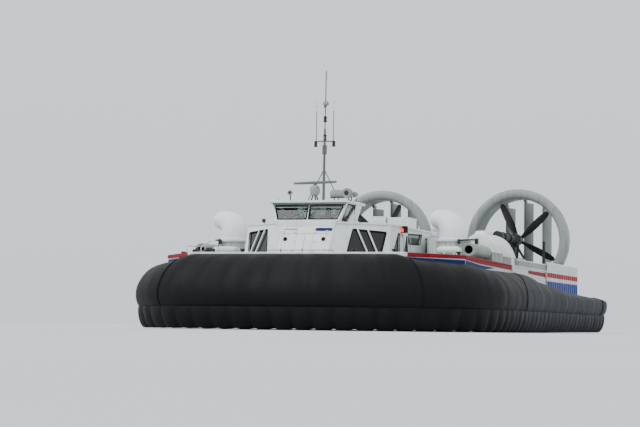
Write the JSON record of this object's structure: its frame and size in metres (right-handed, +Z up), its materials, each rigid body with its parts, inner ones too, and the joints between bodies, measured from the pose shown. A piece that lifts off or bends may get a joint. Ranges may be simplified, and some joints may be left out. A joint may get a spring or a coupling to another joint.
{
  "type": "passenger hovercraft",
  "caption": "Passenger hovercraft with an inflated rubber skirt, a cabin with a raised wheelhouse, turning bow thrusters, and ducted propellers with rudders at the stern.",
  "frame": {"origin": "amidships on the centre line, on the floor under the skirt", "axes": "+X to port, +Y aft, +Z up; the bow points along -Y"},
  "size_m": [15, 29.5, 10.2008],
  "materials": {
    "white_paint": "semi-gloss white paint on welded aluminium",
    "deck_paint": "matt grey-green deck paint",
    "duct_paint": "satin light grey paint",
    "rudder_paint": "satin grey paint",
    "black_paint": "satin black paint",
    "skirt_rubber": "rubber-coated nylon, matt",
    "window_glass": "tinted",
    "bare_metal": "mill finish",
    "seat_fabric": "woven blue",
    "helm_plastic": "matt dark grey",
    "radar_plastic": "grey"
  },
  "bodies": {
    "hull": {"hull_raft": "deck_paint", "lift_module_port": "deck_paint", "lift_module_starboard": "deck_paint", "side_pipe_port": "deck_paint", "side_pipe_starboard": "deck_paint", "thruster_base_port": "deck_paint", "thruster_base_starboard": "deck_paint", "landing_skids": "bare_metal", "skirt_bow": "skirt_rubber", "skirt_shoulder_port": "skirt_rubber", "skirt_shoulder_starboard": "skirt_rubber", "skirt_side_port": "skirt_rubber", "skirt_side_starboard": "skirt_rubber", "skirt_stern": "skirt_rubber", "side_bulwark_port": "white_paint", "side_bulwark_starboard": "white_paint", "cabin_front": "white_paint", "cabin_flank_port": "white_paint", "cabin_flank_starboard": "white_paint", "cabin_side_port": "white_paint", "cabin_side_starboard": "white_paint", "cabin_rear": "white_paint", "wheelhouse_walls": "white_paint", "wheelhouse_roof": "white_paint", "cabin_roof": "white_paint", "mast": "white_paint", "radar_pedestal": "white_paint", "searchlights": "white_paint", "roof_units": "white_paint", "engine_module_port": "white_paint", "engine_module_starboard": "white_paint", "flank_glass_port": "window_glass", "flank_glass_starboard": "window_glass", "slit_glass_port": "window_glass", "slit_glass_starboard": "window_glass", "side_glass_port": "window_glass", "side_glass_starboard": "window_glass", "wheelhouse_glass": "window_glass", "helm": "helm_plastic", "cabin_seats": "seat_fabric", "pylon_port": "black_paint", "pylon_starboard": "black_paint", "duct_port": "duct_paint", "duct_starboard": "duct_paint"},
    "propeller_port": {"propeller_port": "black_paint"},
    "propeller_starboard": {"propeller_starboard": "black_paint"},
    "rudder_inner_port": {"rudder_inner_port": "rudder_paint"},
    "rudder_inner_starboard": {"rudder_inner_starboard": "rudder_paint"},
    "rudder_middle_port": {"rudder_middle_port": "rudder_paint"},
    "rudder_middle_starboard": {"rudder_middle_starboard": "rudder_paint"},
    "rudder_outer_port": {"rudder_outer_port": "rudder_paint"},
    "rudder_outer_starboard": {"rudder_outer_starboard": "rudder_paint"},
    "thruster_nozzle_port": {"thruster_nozzle_port": "white_paint"},
    "thruster_nozzle_starboard": {"thruster_nozzle_starboard": "white_paint"},
    "radar_scanner": {"radar_scanner": "radar_plastic"},
    "bow_hatch_port": {"bow_hatch_port": "white_paint"},
    "bow_hatch_starboard": {"bow_hatch_starboard": "white_paint"},
    "side_door_port": {"side_door_port": "white_paint"},
    "side_door_starboard": {"side_door_starboard": "white_paint"}
  },
  "joints": [
    {"name": "propeller_port_spin", "type": "hinge", "parent": "hull", "child": "propeller_port", "pos_m": [3.45, 11.45, 4.46], "axis": [0, 1, 0], "continuous": true},
    {"name": "propeller_starboard_spin", "type": "hinge", "parent": "hull", "child": "propeller_starboard", "pos_m": [-3.45, 11.45, 4.46], "axis": [0, 1, 0], "continuous": true},
    {"name": "rudder_middle_port_turn", "type": "hinge", "parent": "hull", "child": "rudder_middle_port", "pos_m": [3.45, 13.18, 4.46], "axis": [0, 0, 1], "range_deg": [-17, 43]},
    {"name": "rudder_middle_starboard_turn", "type": "hinge", "parent": "hull", "child": "rudder_middle_starboard", "pos_m": [-3.45, 13.18, 4.46], "axis": [0, 0, 1], "range_deg": [-17, 43]},
    {"name": "rudder_inner_port_turn", "type": "hinge", "parent": "hull", "child": "rudder_inner_port", "pos_m": [2.53, 13.18, 4.46], "axis": [0, 0, 1], "range_deg": [-17, 43]},
    {"name": "rudder_inner_starboard_turn", "type": "hinge", "parent": "hull", "child": "rudder_inner_starboard", "pos_m": [-2.53, 13.18, 4.46], "axis": [0, 0, 1], "range_deg": [-17, 43]},
    {"name": "rudder_outer_port_turn", "type": "hinge", "parent": "hull", "child": "rudder_outer_port", "pos_m": [4.37, 13.18, 4.46], "axis": [0, 0, 1], "range_deg": [-17, 43]},
    {"name": "rudder_outer_starboard_turn", "type": "hinge", "parent": "hull", "child": "rudder_outer_starboard", "pos_m": [-4.37, 13.18, 4.46], "axis": [0, 0, 1], "range_deg": [-17, 43]},
    {"name": "thruster_port_turn", "type": "hinge", "parent": "hull", "child": "thruster_nozzle_port", "pos_m": [4.6, -6.8, 3.63], "axis": [0, 0, 1], "range_deg": [-180, 180]},
    {"name": "thruster_starboard_turn", "type": "hinge", "parent": "hull", "child": "thruster_nozzle_starboard", "pos_m": [-4.6, -6.8, 3.63], "axis": [0, 0, 1], "range_deg": [-180, 180]},
    {"name": "radar_spin", "type": "hinge", "parent": "hull", "child": "radar_scanner", "pos_m": [0, -10.5, 5.66], "axis": [0, 0, 1], "continuous": true},
    {"name": "bow_hatch_port_swing", "type": "hinge", "parent": "hull", "child": "bow_hatch_port", "pos_m": [0.856, -11.81615, 3.35], "axis": [0, 0.3896, 0.921], "range_deg": [0, 110]},
    {"name": "bow_hatch_starboard_swing", "type": "hinge", "parent": "hull", "child": "bow_hatch_starboard", "pos_m": [-0.856, -11.81615, 3.35], "axis": [0, -0.3896, -0.921], "range_deg": [0, 110]},
    {"name": "side_door_port_swing", "type": "hinge", "parent": "hull", "child": "side_door_port", "pos_m": [2.93769, -8.296, 3.35], "axis": [0.0538, 0, -0.9986], "range_deg": [0, 100]},
    {"name": "side_door_starboard_swing", "type": "hinge", "parent": "hull", "child": "side_door_starboard", "pos_m": [-2.93769, -8.296, 3.35], "axis": [0.0538, 0, 0.9986], "range_deg": [0, 100]}
  ],
  "couplings": [
    {"joint": "rudder_middle_starboard_turn", "follows": "rudder_middle_port_turn", "ratio": 1},
    {"joint": "rudder_inner_port_turn", "follows": "rudder_middle_port_turn", "ratio": 1},
    {"joint": "rudder_inner_starboard_turn", "follows": "rudder_middle_port_turn", "ratio": 1},
    {"joint": "rudder_outer_port_turn", "follows": "rudder_middle_port_turn", "ratio": 1},
    {"joint": "rudder_outer_starboard_turn", "follows": "rudder_middle_port_turn", "ratio": 1}
  ]
}
